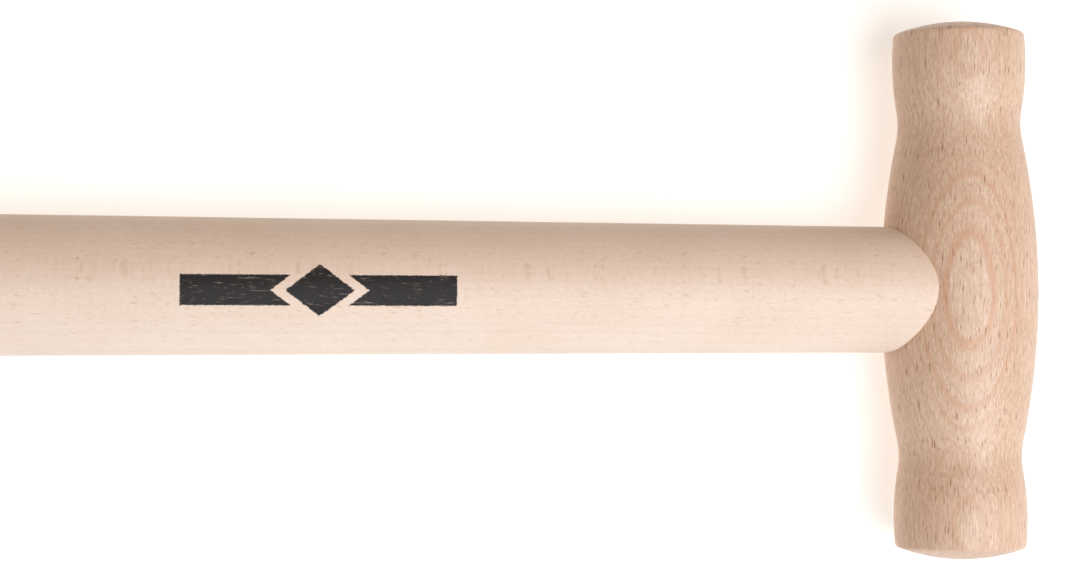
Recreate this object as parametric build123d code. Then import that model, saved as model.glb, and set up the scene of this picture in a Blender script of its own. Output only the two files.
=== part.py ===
"""T-handled beech tool shaft: a tapered shaft coped to a turned cross grip, joined by a wedged through tenon.

Row frame, in millimetres: +X runs along the shaft from its sawn socket end to the grip, +Y runs along
the grip, and +Z is up as the handle lies on a bench. The origin is the centre of the sawn end.
"""

import math
import os

from build123d import *

# ---- driving dimensions -------------------------------------------------------------------------

# Whole handle
overall_length = 700.0  # from the sawn end to the far side of the grip

# Shaft
seat_diameter = 36.0  # parallel part that a spade or fork socket takes
seat_length = 220.0
neck_diameter = 33.2  # where the shaft meets the grip's axis
end_chamfer = 2.0  # lead-in round the sawn end

# Cross grip, turned about its own axis
grip_length = 143.0  # over the domed ends
crown_diameter = 41.4  # at the middle
waist_depth = 4.5  # how far the waist lies under the crown, on the radius
waist_inset = 27.2  # from the end of the grip to the waist
waist_hollow = 22.0  # radius of the hollow turned at the waist
flare_rise = 1.4  # how far the flare stands over the waist, on the radius
flare_inset = 10.8  # from the end of the grip to the crest of the flare
dome_height = 3.2
rim_round = 0.8

# Joint
tenon_diameter = 20.0
glue_line = 0.1  # gap that the glue fills, round the tenon and under the saddle
saw_kerf = 1.6  # slot sawn in the tenon for the wedge
wedge_spread = 1.2  # how far the wedge opens each half of the tenon, at its outer end
wedge_length = 26.0
kerf_reserve = 3.0  # how far the saw cut runs on past the wedge

# ---- places worked out from them ----------------------------------------------------------------

crown_radius = crown_diameter / 2
neck_radius = neck_diameter / 2
seat_radius = seat_diameter / 2
tenon_radius = tenon_diameter / 2
half_grip = grip_length / 2
grip_axis_x = overall_length - crown_radius
wedge_tip_x = overall_length - wedge_length
wedge_thickness = saw_kerf + 2 * wedge_spread  # at the outer end
proud = 2.0  # how far tools run past the face that they cut or trim


def arc_point(centre, radius, angle):
    """The point of a circle at an angle in degrees from the +X direction of its sketch."""
    return (
        centre[0] + radius * math.cos(math.radians(angle)),
        centre[1] + radius * math.sin(math.radians(angle)),
    )


def towards(start, end, distance):
    """The point that lies a distance from start, on the way to end."""
    length = math.dist(start, end)
    return tuple(a + (b - a) * distance / length for a, b in zip(start, end))


def grip_envelope(growth=0.0):
    """The grip's turned outside as a full solid, grown by a gap on its radius.

    In the sketch, X is the radius and Y the place along the grip. Three arcs are tangent to each
    other: a long barrel arc, the hollow of the waist and the crest of the flare.
    """
    crown = crown_radius + growth
    waist = crown - waist_depth
    flare = waist + flare_rise
    waist_y = half_grip - waist_inset
    flare_y = half_grip - flare_inset
    rim_y = half_grip - dome_height

    hollow_centre = (waist + waist_hollow, waist_y)
    over_centre = waist_hollow - waist_depth
    barrel = (waist_y**2 + over_centre**2 - waist_hollow**2) / (2 * waist_depth)
    barrel_centre = (crown - barrel, 0.0)
    crest_run = flare_y - waist_y
    crest = (crest_run**2 + flare_rise**2) / (2 * flare_rise) - waist_hollow
    crest_centre = (flare - crest, flare_y)
    rim = crest_centre[0] + math.sqrt(crest**2 - (rim_y - flare_y) ** 2)
    dome = (rim**2 + dome_height**2) / (2 * dome_height)
    dome_centre = (0.0, half_grip - dome)
    dome_middle = arc_point(dome_centre, dome, 90 - math.degrees(math.asin(rim / dome)) / 2)

    leaves_barrel = towards(barrel_centre, hollow_centre, barrel)
    leaves_hollow = towards(crest_centre, hollow_centre, crest)
    half_outline = [
        ThreePointArc(leaves_barrel, (waist, waist_y), leaves_hollow),
        ThreePointArc(leaves_hollow, (flare, flare_y), (rim, rim_y)),
        ThreePointArc((rim, rim_y), dome_middle, (0.0, half_grip)),
    ]
    leaves_barrel_below = (leaves_barrel[0], -leaves_barrel[1])
    outline = [ThreePointArc(leaves_barrel_below, (crown, 0.0), leaves_barrel)]
    outline += half_outline + [mirror(arc, about=Plane.XZ) for arc in half_outline]
    outline += [Line((0.0, half_grip), (0.0, -half_grip))]
    turned = revolve(make_face(outline), axis=Axis.Y)
    return Pos(grip_axis_x, 0, 0) * turned


def along_shaft(start_x, end_x, radius):
    """A round bar on the shaft's axis, from one place to another."""
    return Pos(start_x, 0, 0) * Rot(0, 90, 0) * Cylinder(
        radius, end_x - start_x, align=(Align.CENTER, Align.CENTER, Align.MIN)
    )


def tenon_shape(radius):
    """The round tenon with its outer end spread to an oval by the wedge, run past the grip."""
    entry_x = grip_axis_x - crown_radius - proud
    round_part = along_shaft(entry_x, wedge_tip_x, radius)
    tip_plane = Plane((wedge_tip_x, 0, 0), x_dir=(0, 1, 0), z_dir=(1, 0, 0))
    run_on = (wedge_length + proud) / wedge_length
    round_end = tip_plane * Circle(radius)
    spread_end = tip_plane.offset(wedge_length + proud) * Ellipse(
        radius + wedge_spread * run_on, radius
    )
    return round_part + loft([round_end, spread_end])


def wedge_prism():
    """The wedge's taper across the whole tenon, run past the grip."""
    run_on = (wedge_length + proud) / wedge_length
    half_tip = saw_kerf / 2
    half_head = half_tip + wedge_spread * run_on
    taper = Polyline(
        (wedge_tip_x, -half_tip),
        (wedge_tip_x, half_tip),
        (overall_length + proud, half_head),
        (overall_length + proud, -half_head),
        close=True,
    )
    return extrude(make_face(taper), amount=tenon_diameter, both=True)


def saw_slot():
    """The part of the saw cut that the wedge doesn't reach."""
    return Pos(wedge_tip_x, 0, 0) * Box(
        kerf_reserve,
        saw_kerf,
        2 * tenon_diameter,
        align=(Align.MAX, Align.CENTER, Align.CENTER),
    )


def make_shaft():
    """The shaft: parallel seat, long taper, saddle coped to the grip, and the slotted tenon."""
    blank_outline = Polyline(
        (0, 0),
        (0, seat_radius - end_chamfer),
        (end_chamfer, seat_radius),
        (seat_length, seat_radius),
        (grip_axis_x, neck_radius),
        (grip_axis_x, 0),
        close=True,
    )
    blank = revolve(make_face(blank_outline), axis=Axis.X)
    saddled = blank - grip_envelope(glue_line)

    tenon = tenon_shape(tenon_radius - glue_line)
    tenon_root_x = grip_axis_x - crown_radius - proud
    inner_half = along_shaft(tenon_root_x, grip_axis_x, tenon_diameter)
    flush_tenon = tenon & (grip_envelope() + inner_half)
    return saddled + flush_tenon - wedge_prism() - saw_slot()


def make_cross_grip():
    """The turned cross grip with its through mortise."""
    turned = grip_envelope()
    rim_y = half_grip - dome_height
    rims = [e for e in turned.edges() if abs(abs(e.center().Y) - rim_y) < 0.01]
    rounded = fillet(rims, rim_round)
    return rounded - tenon_shape(tenon_radius)


def make_tenon_wedge():
    """The hardwood wedge, trimmed flush with the grip's round."""
    return wedge_prism() & tenon_shape(tenon_radius - glue_line) & grip_envelope()


os.makedirs("parts", exist_ok=True)
export_step(make_shaft(), "parts/shaft.step")
export_step(make_cross_grip(), "parts/cross_grip.step")
export_step(make_tenon_wedge(), "parts/tenon_wedge.step")
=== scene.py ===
"""Looks of a T-handled beech tool shaft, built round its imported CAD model.

The handle lies on a pale floor: its shaft along +X, its cross grip along +Y. Every piece is made in metres in
the frame of the CAD model, and the wood is drawn through the whole volume of each piece, so that the face,
the quarter and the end of the grain all come from one log.
"""

from __future__ import annotations

import logging
import math
from collections.abc import Callable, Iterable
from dataclasses import dataclass, field
from enum import Enum
from typing import ClassVar

import bmesh
import bpy
from mathutils import Matrix, Vector


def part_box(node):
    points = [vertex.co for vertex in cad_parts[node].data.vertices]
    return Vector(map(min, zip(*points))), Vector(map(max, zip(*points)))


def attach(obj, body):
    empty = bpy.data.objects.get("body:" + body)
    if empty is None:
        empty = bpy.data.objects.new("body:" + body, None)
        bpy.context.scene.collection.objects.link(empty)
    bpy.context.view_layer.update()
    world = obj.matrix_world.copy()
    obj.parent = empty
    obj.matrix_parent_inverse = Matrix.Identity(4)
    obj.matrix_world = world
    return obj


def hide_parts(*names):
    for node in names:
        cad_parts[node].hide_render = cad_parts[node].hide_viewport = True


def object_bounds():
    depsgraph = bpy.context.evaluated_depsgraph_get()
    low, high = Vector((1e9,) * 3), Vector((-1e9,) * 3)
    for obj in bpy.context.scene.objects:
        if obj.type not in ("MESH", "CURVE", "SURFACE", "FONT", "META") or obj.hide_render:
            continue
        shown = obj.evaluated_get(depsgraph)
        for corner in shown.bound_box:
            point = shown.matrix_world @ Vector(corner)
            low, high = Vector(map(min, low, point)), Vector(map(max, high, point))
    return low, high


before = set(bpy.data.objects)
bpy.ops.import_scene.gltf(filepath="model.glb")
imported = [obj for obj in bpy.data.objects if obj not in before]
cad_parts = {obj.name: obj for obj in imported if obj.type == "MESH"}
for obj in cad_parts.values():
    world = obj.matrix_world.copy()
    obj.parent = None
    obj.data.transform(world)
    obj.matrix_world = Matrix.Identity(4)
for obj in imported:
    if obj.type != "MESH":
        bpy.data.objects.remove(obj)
CAD_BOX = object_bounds()

LOG = logging.getLogger("t_handle")
MM = 0.001
ROOT_BODY = "root"
TURNED_STEPS = 180  # facets round a turned piece; a multiple of four, so that it reaches its full width
SHARP_ANGLE = math.radians(32)
TOUCH = 0.01 * MM  # a point nearer than this to a plane lies on it
MERGE = 0.001 * MM  # points nearer than this to each other are one

Point = tuple[float, float]  # of a half outline: its radius and its place along the axis


# ---- shapes of the turned wood


@dataclass(frozen=True)
class GripShape:
    """The turned outside of the cross grip, as a radius for each place along it.

    Three arcs are tangent to each other from the middle outwards: a long barrel, the hollow of the waist and
    the crest of the flare. A shallow dome closes each end.
    """

    axis_x: float
    half_length: float
    crown: float
    waist_depth: float = 4.5 * MM
    waist_inset: float = 27.2 * MM
    waist_hollow: float = 22.0 * MM
    flare_rise: float = 1.4 * MM
    flare_inset: float = 10.8 * MM
    dome_height: float = 3.2 * MM
    rim_round: float = 0.55 * MM
    station: float = 1.0 * MM
    dome_rings: int = 14

    @property
    def waist(self) -> float:
        """Radius at the waist."""
        return self.crown - self.waist_depth

    @property
    def flare(self) -> float:
        """Radius at the crest of the flare."""
        return self.waist + self.flare_rise

    @property
    def waist_y(self) -> float:
        """Place of the waist along the grip."""
        return self.half_length - self.waist_inset

    @property
    def flare_y(self) -> float:
        """Place of the flare's crest along the grip."""
        return self.half_length - self.flare_inset

    @property
    def rim_y(self) -> float:
        """Place of the rim, where the dome starts."""
        return self.half_length - self.dome_height

    @property
    def barrel_arc(self) -> float:
        """Radius of the long arc of the barrel."""
        over = self.waist_hollow - self.waist_depth
        return (self.waist_y**2 + over**2 - self.waist_hollow**2) / (2 * self.waist_depth)

    @property
    def crest_arc(self) -> float:
        """Radius of the arc over the flare's crest."""
        run = self.flare_y - self.waist_y
        return (run**2 + self.flare_rise**2) / (2 * self.flare_rise) - self.waist_hollow

    def radius_at(self, y: float) -> float:
        """Gives the grip's radius at a place between its rims.

        Args:
            y: Place along the grip from its middle, either way.

        Returns:
            The radius there.
        """
        y = min(abs(y), self.rim_y)
        barrel, hollow, crest = self.barrel_arc, self.waist_hollow, self.crest_arc
        barrel_end = self.waist_y * barrel / (barrel + hollow)
        hollow_end = self.flare_y - (self.flare_y - self.waist_y) * crest / (crest + hollow)
        if y <= barrel_end:
            return self.crown - barrel + math.sqrt(barrel**2 - y**2)
        if y <= hollow_end:
            return self.waist + hollow - math.sqrt(hollow**2 - (y - self.waist_y) ** 2)
        return self.flare - crest + math.sqrt(crest**2 - (y - self.flare_y) ** 2)

    def dome_y(self, radius: float) -> float:
        """Gives the place along the grip where its domed end has a radius.

        Args:
            radius: Distance from the grip's axis, up to the rim's.

        Returns:
            The distance from the middle of the grip.
        """
        rim = self.radius_at(self.rim_y)
        dome = (rim**2 + self.dome_height**2) / (2 * self.dome_height)
        return self.half_length - dome + math.sqrt(dome**2 - radius**2)

    def outline(self) -> list[Point]:
        """Gives the half outline that is spun.

        Returns:
            The points from the middle of the lower dome to the middle of the upper one.
        """
        rim = self.radius_at(self.rim_y)
        dome = [
            (rim * k / self.dome_rings, self.dome_y(rim * k / self.dome_rings))
            for k in range(self.dome_rings)
        ]
        count = round(2 * self.rim_y / self.station)
        side = [-self.rim_y + 2 * self.rim_y * k / count for k in range(count + 1)]
        points = [(radius, -y) for radius, y in dome]
        points += [(self.radius_at(y), y) for y in side]
        return points + [(radius, y) for radius, y in reversed(dome)]

    def side_x(self, y: float, z: float, side: int, gap: float = 0.0) -> float:
        """Gives where a line along the shaft meets the grip's side -1 or +1, or a gap outside it."""
        reach = self.radius_at(y) + gap
        return self.axis_x + side * math.sqrt(max(reach**2 - z**2, 0.0))


@dataclass(frozen=True)
class ShaftShape:
    """The turned outside of the shaft, along its own axis from the sawn socket end."""

    axis_x: float
    seat: float
    seat_length: float = 220.0 * MM
    neck: float = 16.6 * MM
    end_chamfer: float = 2.0 * MM
    cope_run: float = 70.0 * MM  # the stretch whose rings lean into the curve of the saddle
    arris: float = 0.22 * MM  # the saddle's edge, eased with sandpaper

    def radius_at(self, x: float) -> float:
        """Gives the shaft's radius at a place along it."""
        share = (x - self.seat_length) / (self.axis_x - self.seat_length)
        return self.seat + (self.neck - self.seat) * max(share, 0.0)


@dataclass(frozen=True)
class JointShape:
    """The wedged through tenon that holds the grip on the shaft."""

    tenon: float = 10.0 * MM
    glue_line: float = 0.1 * MM
    kerf: float = 1.6 * MM
    wedge_spread: float = 1.2 * MM
    wedge_length: float = 26.0 * MM
    kerf_reserve: float = 3.0 * MM
    proud: float = 2.0 * MM

    def spread_at(self, x: float, end_x: float) -> float:
        """Gives how far the wedge opens each half of the tenon at x, for a tenon that ends at end_x."""
        return self.wedge_spread * max(x - end_x + self.wedge_length, 0.0) / self.wedge_length


# ---- mesh work


class Axis(Enum):
    """An axis of the handle that a piece is turned about."""

    SHAFT = Vector((1.0, 0.0, 0.0))
    GRIP = Vector((0.0, 1.0, 0.0))


class Workshop:
    """Mesh operations that more than one piece needs."""

    @staticmethod
    def profile(start: Point, stretches: Iterable[tuple[float, float, int]]) -> list[Point]:
        """Strings straight stretches into a half outline.

        Args:
            start: The first point.
            stretches: For each stretch, the radius and place of its end, and how many steps it takes.

        Returns:
            The points of the outline.
        """
        points = [start]
        for radius, place, count in stretches:
            last = Vector(points[-1])
            end = Vector((radius, place))
            points += [tuple(last.lerp(end, k / count)) for k in range(1, count + 1)]
        return points

    @staticmethod
    def turn(points: list[Point], centre: Vector, axis: Axis) -> bmesh.types.BMesh:
        """Spins a half outline into a closed turned piece.

        Args:
            points: The half outline, from one end's middle to the other's.
            centre: A point on the axis, from which places are measured.
            axis: The axis that the piece is turned about.

        Returns:
            The turned mesh, with its faces outwards.
        """
        away = Vector((0.0, 0.0, 1.0))
        mesh = bmesh.new()
        verts = [mesh.verts.new(centre + axis.value * place + away * radius) for radius, place in points]
        edges = [mesh.edges.new(pair) for pair in zip(verts, verts[1:])]
        bmesh.ops.spin(
            mesh,
            geom=verts + edges,
            cent=centre,
            axis=axis.value,
            angle=math.tau,
            steps=TURNED_STEPS,
            use_merge=True,
        )
        Workshop.close(mesh)
        return mesh

    @staticmethod
    def close(mesh: bmesh.types.BMesh) -> None:
        """Merges doubled points and turns every face outwards."""
        bmesh.ops.remove_doubles(mesh, verts=mesh.verts[:], dist=MERGE)
        bmesh.ops.recalc_face_normals(mesh, faces=mesh.faces[:])

    @staticmethod
    def edges(mesh: bmesh.types.BMesh, chosen: Callable[[Vector], bool]) -> list[bmesh.types.BMEdge]:
        """Gives the edges with both their points at chosen places."""
        return [edge for edge in mesh.edges if all(chosen(v.co) for v in edge.verts)]

    @staticmethod
    def ease(mesh: bmesh.types.BMesh, edges: list[bmesh.types.BMEdge], width: float, segments: int) -> None:
        """Rounds edges over.

        Args:
            mesh: The mesh that is changed.
            edges: The edges to round.
            width: How far the round reaches from each edge.
            segments: How many facets it has.
        """
        bmesh.ops.bevel(
            mesh,
            geom=edges,
            offset=width,
            offset_type="OFFSET",
            affect="EDGES",
            segments=segments,
            profile=0.5,
            material=-1,
            clamp_overlap=True,
        )

    @staticmethod
    def extend(mesh: bmesh.types.BMesh, before: float, after: float) -> list[bmesh.types.BMVert]:
        """Lengthens a tool along the shaft by extruding the faces at its end.

        Args:
            mesh: The tool.
            before: Place of the end faces.
            after: Place that they are drawn out to.

        Returns:
            The points of the new end.
        """
        tip = [f for f in mesh.faces if all(abs(v.co.x - before) < TOUCH for v in f.verts)]
        grown = bmesh.ops.extrude_face_region(mesh, geom=tip)["geom"]
        moved = [g for g in grown if isinstance(g, bmesh.types.BMVert)]
        bmesh.ops.translate(mesh, verts=moved, vec=(after - before, 0, 0))
        return moved

    @staticmethod
    def finish(mesh: bmesh.types.BMesh, name: str) -> bpy.types.Object:
        """Turns a bmesh into an object at the origin, shaded smooth but for its real edges.

        Args:
            mesh: The finished bmesh, which is freed.
            name: The object's name.

        Returns:
            The new object, linked to the scene.
        """
        data = bpy.data.meshes.new(name)
        for face in mesh.faces:
            face.smooth = True
        mesh.to_mesh(data)
        mesh.free()
        data.set_sharp_from_angle(angle=SHARP_ANGLE)
        piece = bpy.data.objects.new(name, data)
        bpy.context.scene.collection.objects.link(piece)
        return piece

    @staticmethod
    def carve(piece: bpy.types.Object, tool: bpy.types.Object, operation: str) -> None:
        """Cuts a piece with another mesh, and throws the tool away.

        Args:
            piece: The piece that is cut.
            tool: A closed mesh.
            operation: DIFFERENCE or INTERSECT.
        """
        cut = piece.modifiers.new("cut", "BOOLEAN")
        cut.operation = operation
        cut.solver = "EXACT"
        cut.object = tool
        graph = bpy.context.evaluated_depsgraph_get()
        carved = bpy.data.meshes.new_from_object(piece.evaluated_get(graph))
        piece.modifiers.clear()
        piece.data = carved
        bpy.data.objects.remove(tool)
        carved.name = piece.name
        carved.set_sharp_from_angle(angle=SHARP_ANGLE)


# ---- shader building


class Signal:
    """A shader socket that carries one number. Arithmetic on it adds Math nodes."""

    def __init__(self, shader: Shader, socket: bpy.types.NodeSocket) -> None:
        """Wraps a socket of a shader."""
        self.shader = shader
        self.socket = socket

    def __add__(self, other: Signal | float) -> Signal:
        """Adds."""
        return self.shader.maths("ADD", self, other)

    def __sub__(self, other: Signal | float) -> Signal:
        """Subtracts the other."""
        return self.shader.maths("SUBTRACT", self, other)

    def __rsub__(self, other: float) -> Signal:
        """Subtracts this from the other."""
        return self.shader.maths("SUBTRACT", other, self)

    def __mul__(self, other: Signal | float) -> Signal:
        """Multiplies."""
        return self.shader.maths("MULTIPLY", self, other)

    def __truediv__(self, other: Signal | float) -> Signal:
        """Divides by the other."""
        return self.shader.maths("DIVIDE", self, other)

    def __pow__(self, other: Signal | float) -> Signal:
        """Raises to a power."""
        return self.shader.maths("POWER", self, other)

    __radd__ = __add__
    __rmul__ = __mul__


Input = Signal | bpy.types.NodeSocket | float | tuple


class Shader:
    """The node tree of a material or a world, and the few ways in which its nodes are made."""

    MIX_AMOUNT, MIX_UNDER, MIX_OVER = 0, 6, 7  # a Mix node's inputs for colours, whose names are shared
    MIX_COLOUR = 2  # and its output

    def __init__(self, owner: bpy.types.Material | bpy.types.World) -> None:
        """Starts with an empty tree.

        Args:
            owner: The material or world that the nodes belong to.
        """
        owner.use_nodes = True
        self.owner = owner
        self.tree = owner.node_tree
        self.tree.nodes.clear()

    def add(self, kind: str, settings: dict[str, object], links: dict[str | int, Input]) -> bpy.types.Node:
        """Adds one node.

        Args:
            kind: The node's type.
            settings: Its own properties, set before anything is linked.
            links: For each input, by name or number, its value or what feeds it.

        Returns:
            The new node.
        """
        node = self.tree.nodes.new(kind)
        for key, value in settings.items():
            setattr(node, key, value)
        for key, value in links.items():
            socket = node.inputs[key]
            if isinstance(value, Signal):
                value = value.socket
            if isinstance(value, bpy.types.NodeSocket):
                self.tree.links.new(value, socket)
            else:
                socket.default_value = value
        return node

    def maths(self, operation: str, *values: Input) -> Signal:
        """Adds a Math node.

        Args:
            operation: The node's operation.
            values: Its inputs in order.

        Returns:
            The answer.
        """
        node = self.add("ShaderNodeMath", {"operation": operation}, dict(enumerate(values)))
        return Signal(self, node.outputs[0])

    def step(self, value: Input, start: float, end: float) -> Signal:
        """Rises smoothly from 0 at start to 1 at end, or falls where start is the larger.

        Args:
            value: The number that is measured.
            start: Where the answer is 0.
            end: Where the answer is 1.

        Returns:
            The smooth step.
        """
        low, high = min(start, end), max(start, end)
        out = (0.0, 1.0) if start < end else (1.0, 0.0)
        links = {"Value": value, "From Min": low, "From Max": high, "To Min": out[0], "To Max": out[1]}
        node = self.add("ShaderNodeMapRange", {"interpolation_type": "SMOOTHSTEP"}, links)
        return Signal(self, node.outputs["Result"])

    def vector(self, x: Input, y: Input, z: Input) -> bpy.types.NodeSocket:
        """Joins three numbers into a vector."""
        return self.add("ShaderNodeCombineXYZ", {}, {0: x, 1: y, 2: z}).outputs[0]

    def noise(self, place: bpy.types.NodeSocket, detail: float = 2.0, roughness: float = 0.5) -> Signal:
        """Smooth noise, one lump to each unit of the place.

        Args:
            place: The vector that is looked up.
            detail: Octaves.
            roughness: How strong the finer octaves are.

        Returns:
            The noise, about 0.5 with a spread of about 0.15.
        """
        links = {"Vector": place, "Scale": 1.0, "Detail": detail, "Roughness": roughness}
        node = self.add("ShaderNodeTexNoise", {"noise_dimensions": "3D"}, links)
        return Signal(self, node.outputs[0])

    def mix(self, under: Input, over: Input, amount: Input) -> bpy.types.NodeSocket:
        """Blends two colours.

        Args:
            under: The colour at 0.
            over: The colour at 1.
            amount: How much of the second shows.

        Returns:
            The blended colour.
        """
        links = {self.MIX_AMOUNT: amount, self.MIX_UNDER: under, self.MIX_OVER: over}
        node = self.add("ShaderNodeMix", {"data_type": "RGBA", "clamp_factor": True}, links)
        return node.outputs[self.MIX_COLOUR]

    def surface(self, links: dict[str, Input]) -> bpy.types.Material:
        """Closes a material's tree with its surface and its output.

        Args:
            links: The surface's inputs.

        Returns:
            The finished material.
        """
        shader = self.add("ShaderNodeBsdfPrincipled", {}, links)
        self.add("ShaderNodeOutputMaterial", {}, {"Surface": shader.outputs[0]})
        return self.owner


Colour = tuple[float, float, float, float]


def shade(red: int, green: int, blue: int) -> Colour:
    """Turns a colour as a paint chart gives it, 0 to 255, into the linear one that a shader takes."""

    def linear(level: int) -> float:
        """Undoes the display curve of one channel."""
        share = level / 255
        return share / 12.92 if share <= 0.04045 else ((share + 0.055) / 1.055) ** 2.4

    return (linear(red), linear(green), linear(blue), 1.0)


# ---- finishes


@dataclass(frozen=True)
class Log:
    """Where in the log a piece was cut. Lengths are in millimetres, as wood is measured."""

    along: Axis
    centre_x: float
    pith: tuple[float, float]  # from the piece's axis: across it, and up
    ring: float  # width of a year's growth
    ring_phase: float
    seed: float
    ends: tuple[float, float]  # places along the piece beyond which its end grain shows
    slant: float = 0.0  # how far the grain climbs round the log for its run along it
    ray_length: float = 1.0  # how long its rays are beside the usual ones
    bold_from: float = 0.0  # distance from the pith from which the late wood is bolder


@dataclass(frozen=True)
class WoodTones:
    """The colours of a wood and of its painted highlight sheen, and how strongly each kind of figure and the
    sheen show.
    """

    pale: Colour
    deep: Colour
    late: Colour
    ray: Colour
    # painted highlight: the pale colour that glints of light off the lacquer are painted in
    painted_sheen: Colour
    ring_strength: float
    ray_strength: float
    fibre_strength: float
    painted_sheen_strength: float
    small_rays: float = 0.5
    plate_strength: float = 0.8
    coat: float = 0.04
    gloss: float = 0.25  # specular level of the bare wood
    roughness: float = 0.5
    relief: float = 0.35


@dataclass(frozen=True)
class StampShape:
    """A plain ink stamp on the shaft: a lozenge between two bars. Lengths are in millimetres."""

    centre_x: float
    centre_turn: float = -1.3  # how far round the shaft it sits, below the middle
    half_length: float = 34.0
    lozenge_half: tuple[float, float] = (8.5, 6.5)
    bar_half_width: float = 3.8
    gap: float = 0.42  # between lozenge and bars, as a share of the lozenge
    edge: float = 0.16
    bleed: float = 0.5
    bleed_lump: tuple[float, float, float] = (0.9, 0.5, 0.5)
    cover: float = 0.99
    lost_in_fibre: float = 0.3
    lost_in_rays: float = 0.12
    ink: Colour = shade(22, 18, 18)


class Grain:
    """The figure of beech, worked out in a piece's volume from its place in the log."""

    # Lengths are in millimetres. Rings bend round lumps of this length and width, and by this much.
    SWAY = (70.0, 60.0, 0.5)
    RIPPLE = (15.0, 9.0, 0.09)
    BEND_GAIN = 4.0  # makes up for how narrowly noise is spread about its middle

    # Years grow unevenly: over how many of them, and by how much. Fibres fray their lines.
    RING_DRIFT = (2.3, 0.9)
    RING_FRAY = 0.3
    WEAKEST_RING = 0.4
    BOLD_EDGE = 0.9
    BOLD_RANGE = (0.6, 1.05)  # of the late wood: inside and outside the bold edge
    LATE_PEAK = 0.85  # where in the year the wood is darkest
    LINE_START = 0.48
    LINE_TOP = (0.84, 0.86)
    BODY_SHARE = 0.25  # how much of the dark is in the body of the late wood, not in its line

    # Spacing of the rays round the log and along it, and the smallest and largest as a share of it.
    RAY_CELL = (0.72, 10.0)
    RAY_SIZE = (0.12, 0.25)
    FLECK_CELL = (0.42, 4.2)
    FLECK_SIZE = (0.12, 0.3)
    FLECK_SHIFT = 7.3
    RAY_LUMP = (9.0, 6.0, 3.0)  # the lumps that a ray bends round: outwards, along and round
    RAY_BEND = 0.12
    RAY_EDGE = 0.5
    RAY_BIAS = 1.2
    FAINTEST_RAY = 0.15
    RAY_PATCH = (1.3, 3.0, 3.0)  # the lumps in a ray's own tone: outwards, along and round
    PATCH_EDGES = (0.36, 0.6)
    PATCH_FLOOR = 0.4

    # Streaks have a size across the grain and along it; plates outwards, round and along.
    FIBRE = (0.42, 6.0)
    HAIR = (0.24, 3.4)
    # painted highlight: glints of light painted as short bright streaks, sized like the fibres
    PAINTED_GLINT = (0.3, 2.2)
    PLATE = (3.0, 0.2, 1.1)
    FINE_SHARE = 0.6  # how strong the finer octaves of streaks and plates are
    END_EDGE = 0.25

    def __init__(self, shader: Shader, log: Log) -> None:
        """Adds the nodes that every finish of this wood shares.

        Args:
            shader: The material that is being built.
            log: Where the piece was cut.
        """
        self.shader = shader
        self.log = log
        coords = shader.add("ShaderNodeTexCoord", {}, {}).outputs["Object"]
        parts = shader.add("ShaderNodeSeparateXYZ", {}, {"Vector": coords}).outputs
        x, y, z = (Signal(shader, s) * (1 / MM) for s in parts)
        self.x, self.y, self.z = x, y, z
        if log.along is Axis.SHAFT:
            self.along, across = x, y
        else:
            self.along, across = y, x - log.centre_x
        self.outwards, level = self._polar(across - log.pith[0], z - log.pith[1])
        self.round = level + self.along * log.slant

    def _polar(self, across: Signal, up: Signal) -> tuple[Signal, Signal]:
        """Works out the distance from the pith and the way round it.

        Args:
            across: Distance from the pith across the piece.
            up: Distance from the pith upwards.

        Returns:
            The distance outwards, and the distance round the log from the piece's middle.
        """
        shader, log = self.shader, self.log
        reach = math.hypot(*log.pith)
        lead = (-log.pith[0] / reach, -log.pith[1] / reach)
        forward = across * lead[0] + up * lead[1]
        aside = up * lead[0] - across * lead[1]
        for length, width, sway in (self.SWAY, self.RIPPLE):
            place = shader.vector(forward / width, aside / width, self.along / length + log.seed)
            forward = forward + (shader.noise(place, 1.0) - 0.5) * (self.BEND_GAIN * sway)
        outwards = shader.maths("SQRT", forward * forward + aside * aside)
        turned = shader.maths("ARCTAN2", aside, forward)
        return outwards, turned * reach

    def rings(self, fibre: Signal) -> Signal:
        """The late wood of each year: it deepens through the ring and ends in a fine line.

        Args:
            fibre: Streaks that fray the line.

        Returns:
            0 in early wood, up to 1 at the end of a strong year.
        """
        shader, log = self.shader, self.log
        span, drift = self.RING_DRIFT
        uneven = shader.noise(shader.vector(self.outwards / (span * log.ring), log.seed, 0.5), 1.0)
        years = self.outwards / log.ring + (uneven - 0.5) * drift + (fibre - 0.5) * self.RING_FRAY
        years = years + log.ring_phase
        share = shader.maths("FRACT", years)
        year = shader.maths("FLOOR", years)
        lot = shader.add("ShaderNodeTexWhiteNoise", {"noise_dimensions": "1D"}, {"W": year})
        strength = Signal(shader, lot.outputs["Value"]) * (1 - self.WEAKEST_RING) + self.WEAKEST_RING
        if log.bold_from:
            bold = shader.step(self.outwards, log.bold_from - self.BOLD_EDGE, log.bold_from + self.BOLD_EDGE)
            plain, full = self.BOLD_RANGE
            strength = strength * (bold * (full - plain) + plain)
        rise, fall = self.LINE_TOP
        body = shader.step(share, 0.0, self.LATE_PEAK) * shader.step(share, 1.0, self.LATE_PEAK)
        line = shader.step(share, self.LINE_START, rise) * shader.step(share, 1.0, fall)
        return (body * self.BODY_SHARE + line * (1 - self.BODY_SHARE)) * strength

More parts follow.
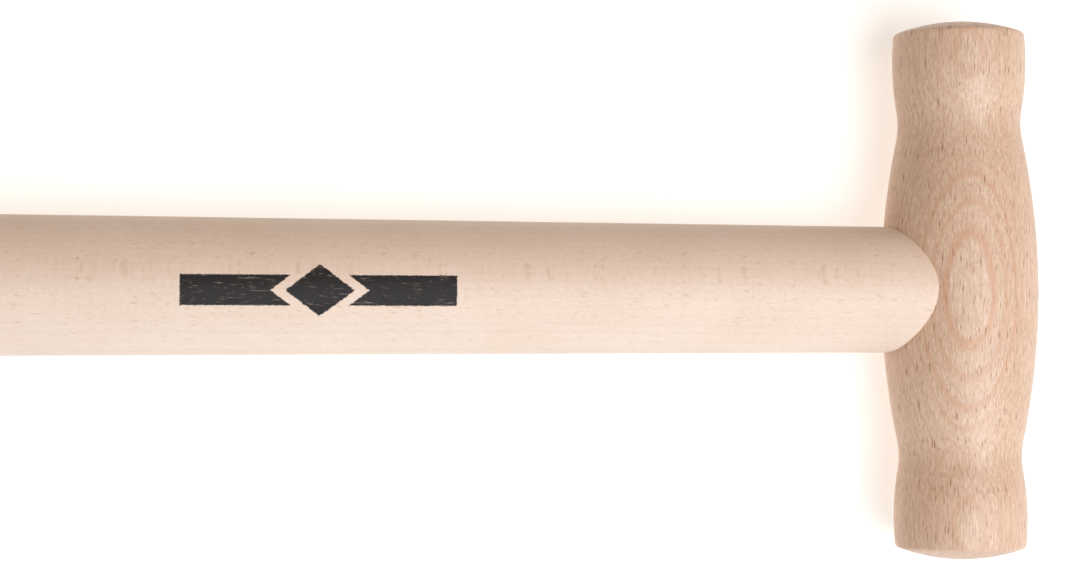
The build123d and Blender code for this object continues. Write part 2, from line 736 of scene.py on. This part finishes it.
    def rays(self, cell: tuple[float, float], size: tuple[float, float], shift: float) -> Signal:
        """Rays: thin plates that run outwards, seen as spindles on the face and as flecks on the quarter.

        Args:
            cell: Their spacing round the log and along it.
            size: The smallest and largest, as a share of that spacing.
            shift: Moves one set away from another.

        Returns:
            1 in a dark ray, 0 between rays.
        """
        shader = self.shader
        bent = shader.noise(self._lumps(self.RAY_LUMP), 1.0)
        place = shader.vector(
            (self.round + (bent - 0.5) * (self.BEND_GAIN * self.RAY_BEND)) / cell[0] + shift,
            self.along / (cell[1] * self.log.ray_length) + shift,
            0.0,
        )
        settings = {"voronoi_dimensions": "2D", "feature": "F1", "distance": "MANHATTAN"}
        cells = shader.add("ShaderNodeTexVoronoi", settings, {"Vector": place, "Scale": 1.0})
        lot = shader.add("ShaderNodeSeparateColor", {}, {"Color": cells.outputs["Color"]}).outputs
        reach = Signal(shader, lot[0]) * (size[1] - size[0]) + size[0]
        inside = 1 - Signal(shader, cells.outputs["Distance"]) / reach
        depth = Signal(shader, lot[1]) ** self.RAY_BIAS * (1 - self.FAINTEST_RAY) + self.FAINTEST_RAY
        patch = shader.step(shader.noise(self._lumps(self.RAY_PATCH)), *self.PATCH_EDGES)
        patch = patch * (1 - self.PATCH_FLOOR) + self.PATCH_FLOOR
        return shader.step(inside, 0.0, self.RAY_EDGE) * depth * patch

    def _lumps(self, size: tuple[float, float, float]) -> bpy.types.NodeSocket:
        """Gives the place for noise whose lumps have this size outwards, along and round."""
        outwards, along, round_log = size
        return self.shader.vector(self.outwards / outwards, self.along / along, self.round / round_log)

    def streaks(self, cell: tuple[float, float], detail: float = 2.0) -> Signal:
        """Streaks drawn out along the grain, about 0.5: fibres, or the painted highlight glints.

        Args:
            cell: Their size across the grain and along it.
            detail: Octaves.

        Returns:
            The noise.
        """
        across, length = cell
        place = self.shader.vector(
            (self.outwards + self.round) / (across * math.sqrt(2)),
            (self.outwards - self.round) / (across * math.sqrt(2)),
            self.along / length,
        )
        return self.shader.noise(place, detail, self.FINE_SHARE)

    def plates(self) -> Signal:
        """The finest rays, far thinner round the log than outwards or along it.

        Returns:
            The noise, about 0.5.
        """
        deep, thin, tall = self.PLATE
        place = self.shader.vector(self.outwards / deep, self.round / thin, self.along / tall)
        return self.shader.noise(place, 1.0, self.FINE_SHARE)

    def ends(self) -> Signal:
        """Marks the end grain, where cut fibres drink up lacquer and darken.

        Returns:
            1 on the piece's ends, 0 along its sides.
        """
        low, high = self.log.ends
        soft = self.END_EDGE
        head = self.shader.step(self.along, high - soft, high + soft)
        return self.shader.maths("MAXIMUM", head, self.shader.step(self.along, low + soft, low - soft))


class WoodFinish:
    """Turned, sanded wood under a thin satin lacquer, whose glints are painted into the colour as highlights.
    """

    PATCH = (22.0, 22.0, 14.0)  # size of the broad pale and deep patches, in millimetres
    BASE_TONE = 0.42  # where plain wood lies between pale and deep
    FIBRE_TONE = 0.8
    HAIR_TONE = 1.2
    PATCH_TONE = 0.55
    END_TONE = 0.4
    END_RINGS = 0.3  # how much more the rings show on end grain
    # where the glint streaks turn into painted highlight
    PAINTED_GLINT_EDGES = (0.62, 0.82)
    THIN_INK = (0.6, 0.8)  # the streaks that ink is lost in
    FIBRE_ROUGH = 0.16
    FLECK_ROUGH = 0.1
    INK_ROUGH = 0.2
    FIBRE_HEIGHT = 0.8
    HAIR_HEIGHT = 0.6
    FLECK_DEPTH = 0.6
    RING_HEIGHT = 0.25
    RELIEF_HEIGHT = 0.04 * MM
    COAT_ROUGHNESS = 0.32

    def __init__(self, name: str, log: Log, tones: WoodTones, stamp: StampShape | None = None) -> None:
        """Notes what the finish is made of.

        Args:
            name: The material's name.
            log: Where the piece was cut.
            tones: Its colours.
            stamp: The ink stamp, if the piece carries one.
        """
        self.shader = Shader(bpy.data.materials.new(name))
        self.log = log
        self.tones = tones
        self.stamp = stamp

    def _ink(self, grain: Grain, fibre: Signal, rays: Signal) -> Signal:
        """Masks the stamp: rolled on from above, bled a little and broken by the grain.

        Args:
            grain: The piece's grain, for its places.
            fibre: Streaks that leave the ink thin.
            rays: Rays that the ink doesn't take to.

        Returns:
            1 where the ink is whole.
        """
        shader, stamp = self.shader, self.stamp
        parts = (place / size for place, size in zip((grain.x, grain.y, grain.z), stamp.bleed_lump))
        bleed = (shader.noise(shader.vector(*parts)) - 0.5) * stamp.bleed
        run = shader.maths("ABSOLUTE", grain.x - stamp.centre_x) + bleed
        radius = shader.maths("SQRT", grain.y * grain.y + grain.z * grain.z)
        turned = shader.maths("ARCTAN2", grain.y, grain.z) * radius
        rise = shader.maths("ABSOLUTE", turned - stamp.centre_turn) + bleed
        diamond = run / stamp.lozenge_half[0] + rise / stamp.lozenge_half[1]
        sharp = stamp.edge / stamp.lozenge_half[1]
        lozenge = shader.step(diamond, 1 + sharp, 1 - sharp)
        clear = shader.step(diamond, 1 + stamp.gap - sharp, 1 + stamp.gap + sharp)
        ends = shader.step(run, stamp.half_length + stamp.edge, stamp.half_length - stamp.edge)
        width = shader.step(rise, stamp.bar_half_width + stamp.edge, stamp.bar_half_width - stamp.edge)
        drawn = shader.maths("MAXIMUM", lozenge, clear * ends * width)
        thin = shader.step(fibre, *self.THIN_INK) * stamp.lost_in_fibre + rays * stamp.lost_in_rays
        return drawn * (stamp.cover - thin)

    def make(self) -> bpy.types.Material:
        """Builds the material.

        Returns:
            The finished material.
        """
        shader, tones = self.shader, self.tones
        grain = Grain(shader, self.log)
        fibre = grain.streaks(Grain.FIBRE, 2.0)
        hair = grain.streaks(Grain.HAIR, 1.0)
        plates = grain.plates()
        painted_glint = grain.streaks(Grain.PAINTED_GLINT, 1.0)
        rings = grain.rings(fibre)
        large = grain.rays(Grain.RAY_CELL, Grain.RAY_SIZE, 0.0)
        small = grain.rays(Grain.FLECK_CELL, Grain.FLECK_SIZE, Grain.FLECK_SHIFT)
        wide, deep, tall = self.PATCH
        patch = shader.vector(grain.x / wide, grain.y / deep, grain.z / tall + self.log.seed)
        patches = shader.noise(patch, 2.0)

        streaks = (fibre - 0.5) * self.FIBRE_TONE + (hair - 0.5) * self.HAIR_TONE
        streaks = streaks * tones.fibre_strength + (plates - 0.5) * tones.plate_strength
        ends = grain.ends()
        tone = streaks + (patches - 0.5) * self.PATCH_TONE + ends * self.END_TONE + self.BASE_TONE
        colour = shader.mix(tones.pale, tones.deep, tone)
        colour = shader.mix(colour, tones.late, rings * (ends * self.END_RINGS + tones.ring_strength))
        # painted highlight: where the glint streaks peak, the colour is blended towards the painted sheen
        painted_glints = shader.step(painted_glint, *self.PAINTED_GLINT_EDGES)
        colour = shader.mix(colour, tones.painted_sheen, painted_glints * tones.painted_sheen_strength)
        fleck = shader.maths("MAXIMUM", large, small * tones.small_rays)
        colour = shader.mix(colour, tones.ray, fleck * tones.ray_strength)

        roughness = (fibre - 0.5) * self.FIBRE_ROUGH + fleck * self.FLECK_ROUGH + tones.roughness
        if self.stamp:
            ink = self._ink(grain, fibre, fleck)
            colour = shader.mix(colour, self.stamp.ink, ink)
            roughness = roughness + ink * self.INK_ROUGH
        height = (fibre - 0.5) * self.FIBRE_HEIGHT + (hair - 0.5) * self.HAIR_HEIGHT
        height = height - fleck * self.FLECK_DEPTH + rings * self.RING_HEIGHT
        relief = {"Strength": tones.relief, "Distance": self.RELIEF_HEIGHT, "Height": height}
        bump = shader.add("ShaderNodeBump", {}, relief)
        return shader.surface(
            {
                "Base Color": colour,
                "Roughness": roughness,
                "Normal": bump.outputs[0],
                "Coat Weight": tones.coat,
                "Coat Roughness": self.COAT_ROUGHNESS,
                "Specular IOR Level": tones.gloss,
            }
        )


# ---- the handle's pieces


@dataclass
class WoodenPiece:
    """A piece of the handle, which knows how it is shaped and where in the log it was cut."""

    grip: GripShape
    joint: JointShape
    end_x: float  # place of the tenon's outer end
    name: ClassVar[str]
    finish: ClassVar[str]
    tones: ClassVar[WoodTones]

    def mesh(self) -> bpy.types.Object:
        """Shapes the piece."""
        raise NotImplementedError

    def log(self) -> Log:
        """Says where the piece was cut."""
        raise NotImplementedError

    def stamp(self) -> StampShape | None:
        """Gives the ink stamp, on the piece that carries it."""
        return None

    def build(self) -> bpy.types.Object:
        """Makes and dresses the piece.

        Returns:
            The finished piece.
        """
        piece = self.mesh()
        finish = WoodFinish(self.finish, self.log(), self.tones, self.stamp())
        piece.data.materials.append(finish.make())
        return piece


@dataclass
class CrossGrip(WoodenPiece):
    """The turned grip that the hand closes round, with its mortise."""

    rim_facets: int = 4
    name: ClassVar[str] = "beech_cross_grip"
    finish: ClassVar[str] = "lacquered_grip_beech"
    tones: ClassVar[WoodTones] = WoodTones(
        pale=shade(237, 205, 178),
        deep=shade(197, 157, 128),
        late=shade(212, 160, 124),
        ray=shade(148, 97, 66),
        # painted highlight colour of the grip's glints
        painted_sheen=shade(243, 216, 192),
        ring_strength=0.74,
        ray_strength=0.95,
        fibre_strength=1.0,
        painted_sheen_strength=0.25,
        small_rays=0.65,
        coat=0.18,
        gloss=0.4,
    )

    def mesh(self) -> bpy.types.Object:
        """Turns the grip, eases its rims and bores the mortise.

        Returns:
            The grip as an object.
        """
        centre = Vector((self.grip.axis_x, 0.0, 0.0))
        turned = Workshop.turn(self.grip.outline(), centre, Axis.GRIP)
        rims = Workshop.edges(turned, lambda place: abs(abs(place.y) - self.grip.rim_y) < TOUCH)
        Workshop.ease(turned, rims, self.grip.rim_round, self.rim_facets)
        piece = Workshop.finish(turned, self.name)
        Workshop.carve(piece, self.mortise(), "DIFFERENCE")
        return piece

    def mortise(self) -> bpy.types.Object:
        """Makes the tool that bores the mortise, flared where the wedge spreads the tenon.

        Returns:
            The tool as an object.
        """
        joint = self.joint
        start_x = self.grip.axis_x - self.grip.crown - joint.proud
        stations = (start_x, self.end_x - joint.wedge_length, self.end_x + joint.proud)
        bore = bmesh.new()
        bmesh.ops.create_circle(
            bore,
            cap_ends=True,
            radius=joint.tenon,
            segments=TURNED_STEPS,
            matrix=Matrix.Translation((start_x, 0, 0)) @ Matrix.Rotation(math.pi / 2, 4, "Y"),
        )
        for before, after in zip(stations, stations[1:]):
            moved = Workshop.extend(bore, before, after)
            opened = 1 + joint.spread_at(after, self.end_x) / joint.tenon
            bmesh.ops.scale(bore, verts=moved, vec=(1, opened, 1))
        Workshop.close(bore)
        return Workshop.finish(bore, "mortise_tool")

    def log(self) -> Log:
        """Says where the grip was cut."""
        rim_y = self.grip.rim_y / MM
        return Log(
            along=Axis.GRIP,
            centre_x=self.grip.axis_x / MM,
            pith=(7.2, -28.0),
            ring=0.98,
            ring_phase=0.9,
            seed=4.0,
            ends=(-rim_y, rim_y),
            bold_from=46.2,
        )


@dataclass
class Shaft(WoodenPiece):
    """The long tapered shaft, with its saddle and its tenon."""

    shape: ShaftShape
    arris_facets: int = 2
    end_grain_edge: float = 0.4  # how far the sawn end's dark reaches along the shaft, in millimetres
    end_grain_share: float = 0.82  # where the tenon's starts, as a share of the grip's radius
    stamp_inset: float = 173.4  # from the grip's axis to the middle of the stamp, in millimetres
    name: ClassVar[str] = "beech_shaft"
    finish: ClassVar[str] = "lacquered_shaft_beech"
    tones: ClassVar[WoodTones] = WoodTones(
        pale=shade(239, 216, 196),
        deep=shade(224, 192, 167),
        late=shade(217, 184, 157),
        ray=shade(200, 158, 124),
        # painted highlight colour of the shaft's glints
        painted_sheen=shade(243, 226, 212),
        ring_strength=0.2,
        ray_strength=0.5,
        fibre_strength=0.36,
        painted_sheen_strength=0.12,
        small_rays=0.8,
        plate_strength=0.65,
        coat=0.08,
    )

    def outline(self) -> list[Point]:
        """Gives the half outline that is spun, with its saddle and its tenon's end still flat.

        Returns:
            The points from the middle of the sawn end to the middle of the tenon's end.
        """
        shape, tenon = self.shape, self.joint.tenon - self.joint.glue_line
        start_x = shape.axis_x - shape.cope_run
        return Workshop.profile(
            (0.0, 0.0),
            (
                (shape.seat - shape.end_chamfer, 0.0, 4),
                (shape.seat, shape.end_chamfer, 1),
                (shape.seat, shape.seat_length, 6),
                (shape.radius_at(start_x), start_x, 14),
                (shape.neck, shape.axis_x, 28),
                (tenon, shape.axis_x, 8),
                (tenon, self.end_x, 8),
                (0.0, self.end_x, 6),
            ),
        )

    def cope(self, turned: bmesh.types.BMesh) -> None:
        """Leans the last rings into the saddle and trims the tenon flush with the grip.

        Args:
            turned: The spun shaft, whose points are moved.
        """
        shape, joint = self.shape, self.joint
        neck_x, start_x = shape.axis_x, shape.axis_x - shape.cope_run
        tenon = joint.tenon - joint.glue_line
        for vert in turned.verts:
            x, y, z = vert.co
            radius = math.hypot(y, z)
            if x > neck_x + TOUCH:
                on_end = abs(x - self.end_x) < TOUCH
                spread = 1 + joint.spread_at(x, self.end_x) / tenon
                vert.co.y = y * spread
                if on_end:
                    vert.co.x = self.grip.side_x(vert.co.y, z, 1)
            elif abs(x - neck_x) < TOUCH and radius < shape.neck - TOUCH:
                vert.co.x = self.grip.side_x(y, z, -1, joint.glue_line)
            elif x > start_x:
                share = (x - start_x) / shape.cope_run
                neck = shape.neck / radius
                saddle = self.grip.side_x(y * neck, z * neck, -1, joint.glue_line)
                vert.co.x = start_x + share * (saddle - start_x)
                resize = shape.radius_at(vert.co.x) / radius
                vert.co.y, vert.co.z = y * resize, z * resize

    def mesh(self) -> bpy.types.Object:
        """Turns, copes and slots the shaft.

        Returns:
            The shaft as an object.
        """
        turned = Workshop.turn(self.outline(), Vector((0, 0, 0)), Axis.SHAFT)
        axis_x, neck = self.shape.axis_x, self.shape.neck
        rim = Workshop.edges(
            turned,
            lambda place: abs(place.x - axis_x) < TOUCH and abs(place.yz.length - neck) < TOUCH,
        )
        self.cope(turned)
        Workshop.ease(turned, rim, self.shape.arris, self.arris_facets)
        bmesh.ops.recalc_face_normals(turned, faces=turned.faces[:])
        piece = Workshop.finish(turned, self.name)
        slot = wedge_block(self.joint, self.end_x, "slot_tool", self.joint.kerf_reserve)
        Workshop.carve(piece, slot, "DIFFERENCE")
        return piece

    def stamp(self) -> StampShape:
        """Gives the ink stamp."""
        return StampShape(centre_x=self.shape.axis_x / MM - self.stamp_inset)

    def log(self) -> Log:
        """Says where the shaft was cut."""
        return Log(
            along=Axis.SHAFT,
            centre_x=0.0,
            pith=(70.0, 1.2),
            ring=1.9,
            ring_phase=0.4,
            seed=11.0,
            ends=(self.end_grain_edge, (self.shape.axis_x + self.end_grain_share * self.grip.crown) / MM),
            slant=-0.05,
            ray_length=0.7,
        )


def wedge_block(joint: JointShape, end_x: float, name: str, reserve: float = 0.0) -> bpy.types.Object:
    """Makes the tapered block that the wedge is cut from, and that the slot is cut with.

    Args:
        joint: The joint's sizes.
        end_x: Place of the tenon's outer end.
        name: The object's name.
        reserve: How far the saw cut runs on past the wedge's tip.

    Returns:
        The block as an object, longer and wider than the tenon.
    """
    tip_x = end_x - joint.wedge_length
    head_x = end_x + joint.proud
    block = bmesh.new()
    bmesh.ops.create_cube(block, size=1.0)
    bmesh.ops.scale(block, verts=block.verts[:], vec=(head_x - tip_x, joint.kerf, 3 * joint.tenon))
    bmesh.ops.translate(block, verts=block.verts[:], vec=((head_x + tip_x) / 2, 0, 0))
    head = [v for v in block.verts if v.co.x > (head_x + tip_x) / 2]
    opened = 1 + 2 * joint.spread_at(head_x, end_x) / joint.kerf
    bmesh.ops.scale(block, verts=head, vec=(1, opened, 1))
    if reserve:
        Workshop.extend(block, tip_x, tip_x - reserve)
    Workshop.close(block)
    return Workshop.finish(block, name)


@dataclass
class TenonWedge(WoodenPiece):
    """The hardwood wedge in the tenon's end."""

    end_grain_depth: float = 4.0  # from the wedge's head to where its end grain starts, in millimetres
    name: ClassVar[str] = "hardwood_tenon_wedge"
    finish: ClassVar[str] = "oiled_wedge_hardwood"
    tones: ClassVar[WoodTones] = WoodTones(
        pale=shade(176, 128, 88),
        deep=shade(150, 101, 66),
        late=shade(126, 82, 52),
        ray=shade(100, 64, 42),
        # painted highlight colour of the wedge's glints
        painted_sheen=shade(192, 146, 106),
        ring_strength=0.6,
        ray_strength=0.5,
        fibre_strength=1.0,
        painted_sheen_strength=0.4,
    )

    def plug(self) -> bpy.types.Object:
        """Makes the tenon's own outline, which the wedge is trimmed to.

        Returns:
            The plug as an object, flush with the grip's round.
        """
        joint = self.joint
        tenon = joint.tenon - joint.glue_line
        start_x = self.end_x - joint.wedge_length - joint.proud
        stretches = ((tenon, start_x, 8), (tenon, self.end_x, 10), (0.0, self.end_x, 8))
        outline = Workshop.profile((0.0, start_x), stretches)
        plug = Workshop.turn(outline, Vector((0, 0, 0)), Axis.SHAFT)
        for vert in plug.verts:
            spread = 1 + joint.spread_at(vert.co.x, self.end_x) / tenon
            vert.co.y *= spread
            if abs(vert.co.x - self.end_x) < TOUCH:
                vert.co.x = self.grip.side_x(vert.co.y, vert.co.z, 1)
        return Workshop.finish(plug, "plug_tool")

    def mesh(self) -> bpy.types.Object:
        """Tapers the wedge and trims it to the tenon.

        Returns:
            The wedge as an object.
        """
        piece = wedge_block(self.joint, self.end_x, self.name)
        Workshop.carve(piece, self.plug(), "INTERSECT")
        return piece

    def log(self) -> Log:
        """Says where the wedge was cut."""
        return Log(
            along=Axis.SHAFT,
            centre_x=0.0,
            pith=(20.0, 4.0),
            ring=0.9,
            ring_phase=0.1,
            seed=21.0,
            ends=(0.0, self.end_x / MM - self.end_grain_depth),
        )


# ---- floor, light and camera


@dataclass(frozen=True)
class Studio:
    """A plain pale floor under soft light, seen from nearly straight above the handle."""

    floor_z: float
    end_x: float
    aim_inset: float = 135.4 * MM  # from the handle's end to the point that the camera faces
    aim_y: float = -0.93 * MM
    distance: float = 600.0 * MM
    lens: float = 78.0
    sensor: float = 36.0
    clip: tuple[float, float] = (0.05, 50.0)
    swing: float = math.radians(12.5)  # towards the socket end
    dip: float = math.radians(1.3)  # towards the near end of the grip
    floor_size: float = 12.0
    floor_grey: Colour = (0.58, 0.58, 0.58, 1.0)
    floor_glow: Colour = (1.0, 0.94, 0.87, 1.0)
    glow_strength: float = 0.68
    wall: Colour = (0.6, 0.55, 0.48, 1.0)
    ceiling: Colour = (0.09, 0.065, 0.04, 1.0)
    wall_height: float = 0.3  # where the ceiling starts, as a share of straight up
    softbox_place: tuple[float, float, float] = (0.38, -0.37, 1.17)  # from the target
    softbox_size: float = 1.1
    softbox_power: float = 20.7  # in watts
    softbox_tint: tuple[float, float, float] = (0.96, 0.965, 1.0)
    window_place: tuple[float, float, float] = (0.1, -1.2, 0.42)  # the way that daylight comes from
    window_spread: float = math.radians(39)
    daylight: float = 0.67  # in watts to a square metre
    daylight_tint: tuple[float, float, float] = (0.15, 0.65, 1.15)

    @property
    def target(self) -> Vector:
        """The point that camera and softbox face."""
        return Vector((self.end_x - self.aim_inset, self.aim_y, 0.0))

    def floor(self) -> None:
        """Lays the floor."""
        sheet = bmesh.new()
        bmesh.ops.create_grid(sheet, x_segments=1, y_segments=1, size=self.floor_size / 2)
        bmesh.ops.translate(sheet, verts=sheet.verts[:], vec=(self.target.x, 0, self.floor_z))
        floor = Workshop.finish(sheet, "studio_floor")
        finish = {
            "Base Color": self.floor_grey,
            "Roughness": 0.9,
            "Specular IOR Level": 0.1,
            "Emission Color": self.floor_glow,
            "Emission Strength": self.glow_strength,
        }
        floor.data.materials.append(Shader(bpy.data.materials.new("pale_floor")).surface(finish))

    def lamp(self, name: str, kind: str, away: Vector, settings: dict[str, object]) -> None:
        """Hangs a lamp that faces the target.

        Args:
            name: The lamp's name.
            kind: AREA or SUN.
            away: The way from the target to the lamp.
            settings: The light's own properties.
        """
        light = bpy.data.lights.new(name, kind)
        for key, value in settings.items():
            setattr(light, key, value)
        lamp = bpy.data.objects.new(name, light)
        turn = (-away).to_track_quat("-Z", "Y").to_matrix().to_4x4()
        lamp.matrix_world = Matrix.Translation(self.target + away) @ turn
        bpy.context.scene.collection.objects.link(lamp)

    def lamps(self) -> None:
        """Hangs a large square softbox, and lets in soft, cool daylight from the side."""
        softbox = {
            "shape": "SQUARE",
            "size": self.softbox_size,
            "energy": self.softbox_power,
            "color": self.softbox_tint,
        }
        self.lamp("softbox", "AREA", Vector(self.softbox_place), softbox)
        window = {"angle": self.window_spread, "energy": self.daylight, "color": self.daylight_tint}
        self.lamp("window", "SUN", Vector(self.window_place), window)

    def sky(self) -> None:
        """Fills the room with even light: a pale wall round the horizon, a dimmer ceiling."""
        room = Shader(bpy.data.worlds.new("studio"))
        place = room.add("ShaderNodeTexCoord", {}, {}).outputs["Generated"]
        rise = room.add("ShaderNodeSeparateXYZ", {}, {"Vector": place}).outputs["Z"]
        colour = room.mix(self.wall, self.ceiling, room.step(rise, 0.0, self.wall_height))
        light = room.add("ShaderNodeBackground", {}, {"Color": colour})
        room.add("ShaderNodeOutputWorld", {}, {"Surface": light.outputs[0]})
        bpy.context.scene.world = room.owner

    def camera(self) -> None:
        """Sets up the camera."""
        look = Vector(
            (
                math.sin(self.swing) * math.cos(self.dip),
                math.sin(self.dip),
                -math.cos(self.swing) * math.cos(self.dip),
            )
        )
        right = look.cross(Vector((0, 1, 0))).normalized()
        up = right.cross(look)
        turn = Matrix((right, up, -look)).transposed().to_4x4()
        data = bpy.data.cameras.new("camera")
        data.lens = self.lens
        data.sensor_width = self.sensor
        data.clip_start, data.clip_end = self.clip
        camera = bpy.data.objects.new("camera", data)
        camera.matrix_world = Matrix.Translation(self.target - look * self.distance) @ turn
        bpy.context.scene.collection.objects.link(camera)
        bpy.context.scene.camera = camera

    def build(self) -> None:
        """Sets up floor, lamps, sky and camera."""
        self.floor()
        self.lamps()
        self.sky()
        self.camera()
        bpy.context.scene.view_settings.view_transform = "Standard"


# ---- assembly


@dataclass
class Handle:
    """The whole handle, measured from its CAD model."""

    built: dict[str, bpy.types.Object] = field(default_factory=dict)

    def measure(self) -> tuple[GripShape, ShaftShape, JointShape, float]:
        """Reads the sizes that the CAD model gives.

        Returns:
            The shapes of grip, shaft and joint, and the place of the tenon's outer end.
        """
        low, high = (Vector(corner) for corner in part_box("cross_grip"))
        crown = (high.z - low.z) / 2
        end_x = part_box("tenon_wedge")[1].x
        axis_x = end_x - crown
        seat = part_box("shaft")[1].z
        grip = GripShape(axis_x=axis_x, half_length=(high.y - low.y) / 2, crown=crown)
        return grip, ShaftShape(axis_x=axis_x, seat=seat), JointShape(), end_x

    def place(self, piece: bpy.types.Object, node: str, slot: str) -> None:
        """Lets a finished piece stand for its CAD node.

        Args:
            piece: The finished piece.
            node: The CAD node.
            slot: The record's material slot; not used.
        """
        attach(piece, ROOT_BODY)
        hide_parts(node)
        self.built[node] = piece
        LOG.info("%s stands for %s with %d faces", piece.name, node, len(piece.data.polygons))

    def build(self) -> None:
        """Makes every piece in the order in which the real handle is put together."""
        grip, shaft, joint, end_x = self.measure()
        self.place(Shaft(grip, joint, end_x, shaft).build(), "shaft", "shaft_beech")
        self.place(CrossGrip(grip, joint, end_x).build(), "cross_grip", "grip_beech")
        self.place(TenonWedge(grip, joint, end_x).build(), "tenon_wedge", "wedge_hardwood")


def main() -> None:
    """Builds the handle and its studio."""
    logging.basicConfig(level=logging.INFO, format="%(name)s: %(message)s")
    handle = Handle()
    handle.build()
    low, high = CAD_BOX
    Studio(floor_z=low[2], end_x=high[0]).build()
    LOG.info("built %s", ", ".join(sorted(handle.built)))


if __name__ == "__main__":
    main()
